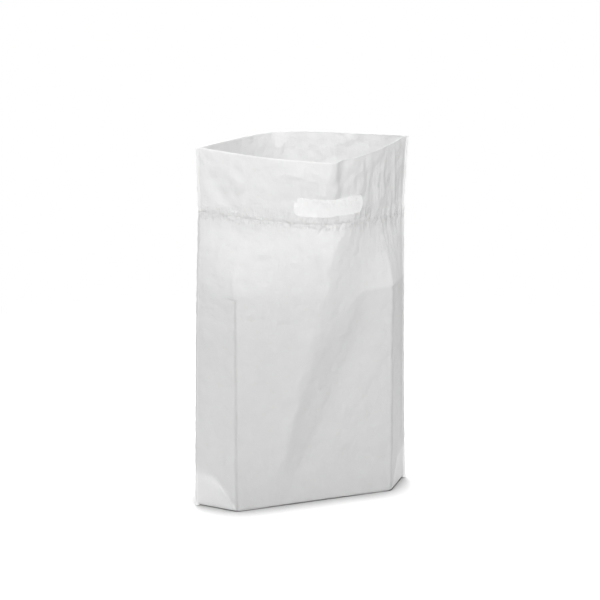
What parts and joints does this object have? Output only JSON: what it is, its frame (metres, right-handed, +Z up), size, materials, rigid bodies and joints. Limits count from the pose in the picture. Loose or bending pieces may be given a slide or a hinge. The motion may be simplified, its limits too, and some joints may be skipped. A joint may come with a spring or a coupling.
{
  "type": "gusseted poly bag",
  "caption": "White plastic carrier bag standing open on its bottom gusset, with a doubled hem and a punched hand hole in each panel.",
  "frame": {"origin": "middle of the floor that the opened gusset stands on, on the ground", "axes": "+Z up to the mouth, +X to the viewer's right from one side weld to the other, -Y out of the front panel"},
  "size_m": [0.2894, 0.1654, 0.4542],
  "materials": {
    "white_film": "thin white polythene film, soft satin gloss"
  },
  "bodies": {
    "root": {"carrier_bag": "white_film"}
  },
  "joints": []
}
